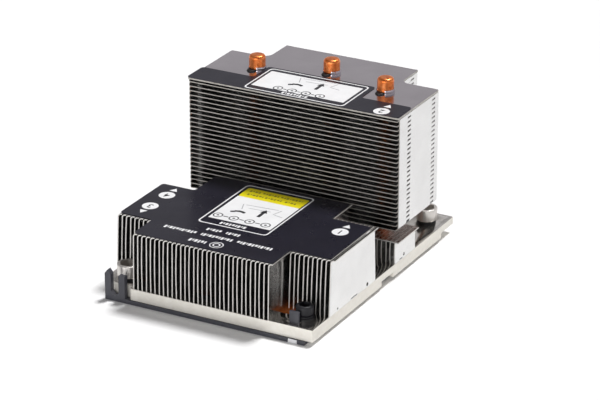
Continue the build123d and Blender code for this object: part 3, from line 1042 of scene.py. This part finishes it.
def pictogram(name, x, y, z, pitch=6.3):
    """A row of linked rings, a straight and a swept pointer, and a thin stepped outline."""
    rings = []
    for index in range(4):
        ring_x = x + 0.5 * (pitch - 6.3) + (index - 1.59) * pitch
        rings.append(ink_ring(f"{name}_ring_{index}", ring_x, y - 4.1, z, 1.85, 0.42))
        rings.append(ink_dot(f"{name}_ring_middle_{index}", ring_x, y - 4.1, z, 0.5, 16))
        if index:
            rings.append(ink_bar(f"{name}_link_{index}", ring_x - pitch / 2, y - 4.1, z, pitch - 4.3, 0.5))
    outline = [
        ink_bar(f"{name}_roof", x + 0.6, y + 8.8, z, 12.5, 0.34, 0.08),
        ink_bar(f"{name}_left_side", x - 6.0, y + 6.4, z, 0.34, 4.6, 0.35),
        ink_bar(f"{name}_right_side", x + 7.4, y + 7.2, z, 0.34, 4.4, -0.3),
        ink_bar(f"{name}_step", x + 9.2, y + 4.6, z, 3.6, 0.34, -0.2),
        ink_bar(f"{name}_inner_roof", x + 0.8, y + 6.4, z, 8.6, 0.3, 0.08),
    ]
    pointer = [
        ink_bar(f"{name}_stem", x + 3.1, y + 3.0, z, 1.3, 4.4, 0, 0.1),
        ink_triangle(f"{name}_tip", x + 3.1, y + 5.7, z, 1.7, 0),
    ]
    sweep = []
    for index in range(4):
        sweep_x, sweep_y = x - 7.0 + index * 1.2, y + 1.1 + 0.28 * index * (4 - index)
        sweep.append(ink_bar(f"{name}_sweep_{index}", sweep_x, sweep_y, z, 1.9, 1.2, 0.5 - 0.3 * index))
    ink(outline, f"{name}_line_work", GREY_PRINT)
    ink(rings + pointer + sweep, f"{name}_pointers", DARK_PRINT)


def low_label():
    z = LOW_TOP
    left_wing = ((0.6, 14.0), (40, 43.5))
    right_wing = ((35, 14.0), (83.9, 44.4))
    middle = ((13.9, 1.3), (68.3, 58.6))
    film("low_label_film", [left_wing, right_wing, middle], z, "low_label")
    z += FILM
    ink([ink_frame("low_outline", (28.0, 20.3), (55.5, 56.8), z, 0.55, 1.6)], "low_outline", WHITE_PRINT)
    ink([ink_bar("low_panel", 42.05, 35.9, z, 24.6, 21.4, 0, 0.3)], "low_panel", WHITE_PRINT)
    ink([ink_bar("low_band", 42.05, 50.6, z, 24.6, 8.0, 0, 0.8)], "low_band", YELLOW_PRINT)
    band_lines = word_bars("band_line_a", [(31.5, 36.0), (36.8, 43.2), (44.0, 52.6)], 52.2, z + INK, 1.25)
    band_lines += word_bars("band_line_b", [(32.0, 38.4), (39.2, 46.4), (47.2, 51.8)], 49.3, z + INK, 1.25)
    ink(band_lines, "band_lines", OCHRE_PRINT)
    pictogram("low", 42.0, 32.4, z + INK)
    ink(word_bars("low_heading", [(36.0, 46.6)], 22.8, z, 1.9), "low_heading", WHITE_PRINT)
    front_lines = word_bars("front_line_a", [(34.6, 40.6), (42.2, 47.6)], 16.1, z, 1.9)
    front_lines += word_bars("front_line_b", [(20.4, 33.4), (35.0, 47.6), (49.2, 63.4)], 11.3, z, 2.0)
    front_lines += word_bars("front_line_c", [(33.6, 40.2)], 5.5, z, 2.2)
    front_lines.append(ink_ring("drive_sign_rim", 44.3, 5.6, z, 2.5, 0.34))
    front_lines.append(ink_ring("drive_sign", 44.3, 5.6, z, 1.4, 0.42))
    ink(front_lines, "front_lines", WHITE_PRINT)
    step_mark("step_four", "4", 7.4, 34.9, z, "back")
    step_mark("step_three", "3", 7.1, 23.9, z, "front")
    step_mark("step_one", "1", 76.3, 35.5, z, "back")


def tall_label():
    z = PLATE_TOP
    front_strip = ((-0.5, 63.2), (84.0, 74.6))
    middle = ((20.55, 63.2), (63.95, 86.1))
    film("tall_label_film", [front_strip, middle], z, "tall_label")
    z += FILM
    ink([ink_frame("tall_outline", (22.2, 63.8), (62.3, 85.1), z, 0.55, 1.6)], "tall_outline", WHITE_PRINT)
    ink([ink_bar("tall_panel", 42.2, 74.9, z, 37.0, 15.6, 0, 0.3)], "tall_panel", WHITE_PRINT)
    pictogram("tall", 43.0, 72.9, z + INK, 5.6)
    ink(word_bars("tall_heading", [(37.0, 47.4)], 65.6, z, 1.7), "tall_heading", WHITE_PRINT)
    step_mark("step_two", "2", 76.2, 66.3, z, "back")


# Stage: white floor, even daylight, and the photograph's camera
def floor():
    """White to the camera and in reflections, and a little less where it throws light back."""
    deselect_all()
    bpy.ops.mesh.primitive_plane_add(size=8, location=(0, 0, 0))
    plane = bpy.context.object
    plane.name = "floor"
    finish = Finish("white_floor", (0.95, 0.95, 0.96), 0, 0.8)
    finish.set("Specular IOR Level", 0.1)
    finish.mottle("Base Color", 60, 2, [(0.3, (0.945, 0.948, 0.958)), (0.7, (0.965, 0.967, 0.975))])
    tree = finish.tree
    path = tree.nodes.new("ShaderNodeLightPath")
    seen = path.outputs["Is Camera Ray"]
    for ray in ("Is Glossy Ray", "Is Transmission Ray"):
        either = tree.nodes.new("ShaderNodeMath")
        either.operation = "MAXIMUM"
        tree.links.new(seen, either.inputs[0])
        tree.links.new(path.outputs[ray], either.inputs[1])
        seen = either.outputs[0]
    mix = tree.nodes.new("ShaderNodeMix")
    mix.data_type = "RGBA"
    tree.links.new(seen, mix.inputs["Factor"])
    tree.links.new(finish.shader.inputs["Base Color"].links[0].from_socket, mix.inputs[6])
    mix.inputs[7].default_value = (1, 1, 1, 1)
    finish.link(mix.outputs[2], "Base Color")
    plane.data.materials.append(finish.material)


def daylight():
    """Pale near the horizon and greyer higher up."""
    world = bpy.data.worlds.new("daylight")
    bpy.context.scene.world = world
    world.use_nodes = True
    tree = world.node_tree
    background = tree.nodes["Background"]
    place = tree.nodes.new("ShaderNodeTexCoord")
    parts = tree.nodes.new("ShaderNodeSeparateXYZ")
    tree.links.new(place.outputs["Generated"], parts.inputs[0])
    sky = tree.nodes.new("ShaderNodeValToRGB")
    stops = [(0.0, 0.56), (0.18, 0.5), (0.34, 0.41), (0.42, 0.38), (0.56, 0.18), (1.0, 0.12)]
    while len(sky.color_ramp.elements) < len(stops):
        sky.color_ramp.elements.new(0.5)
    for element, (position, value) in zip(sky.color_ramp.elements, stops):
        element.position = position
        element.color = (value, value * 0.985, value, 1)
    tree.links.new(parts.outputs["Z"], sky.inputs["Fac"])
    tree.links.new(sky.outputs["Color"], background.inputs["Color"])
    background.inputs["Strength"].default_value = 1


def lamp(name, place, size, power, aim=(0, 0, 0.02)):
    light = bpy.data.lights.new(name, "AREA")
    light.shape = "RECTANGLE"
    light.size, light.size_y = size
    light.energy = power
    holder = bpy.data.objects.new(name, light)
    bpy.context.scene.collection.objects.link(holder)
    holder.location = place
    direction = Vector(aim) - Vector(place)
    holder.rotation_euler = direction.to_track_quat("-Z", "Y").to_euler()
    return holder


def sunlight(direction, strength, spread):
    """The key light: it comes down from behind the part and throws its soft shadow forward."""
    light = bpy.data.lights.new("key_light", "SUN")
    light.energy = strength
    light.angle = radians(spread)
    holder = bpy.data.objects.new("key_light", light)
    bpy.context.scene.collection.objects.link(holder)
    holder.rotation_euler = Vector(direction).to_track_quat("-Z", "Y").to_euler()
    return holder


def camera():
    lens = bpy.data.cameras.new("camera")
    lens.lens = 181.03
    lens.sensor_width = 36
    lens.clip_end = 20
    holder = bpy.data.objects.new("camera", lens)
    bpy.context.scene.collection.objects.link(holder)
    azimuth, elevation, roll = 0.49248, 0.40491, 0.00164
    forward = Vector((-sin(azimuth) * cos(elevation), cos(azimuth) * cos(elevation), -sin(elevation)))
    level = Vector((cos(azimuth), sin(azimuth), 0))
    upward = level.cross(forward)
    right = cos(roll) * level + sin(roll) * upward
    up = -sin(roll) * level + cos(roll) * upward
    turn = Matrix((right, up, -forward)).transposed().to_4x4()
    stand = Vector((471.006, -863.576, 446.401)) * MM
    holder.matrix_world = Matrix.Translation(stand) @ turn
    bpy.context.scene.camera = holder


base_plate()
carrier()
low_fins()
stack_fins()
top_plate()
for pipe_side in RISERS:
    heat_pipe(pipe_side)
small_hardware()
low_label()
tall_label()
floor()
daylight()
sunlight((-0.14, -0.36, -0.92), 2.75, 13)
lamp("front", (0.1, -1.2, 0.22), (0.9, 0.3), 4.5)
camera()
deselect_all()

bpy.context.scene.view_settings.view_transform = "Standard"
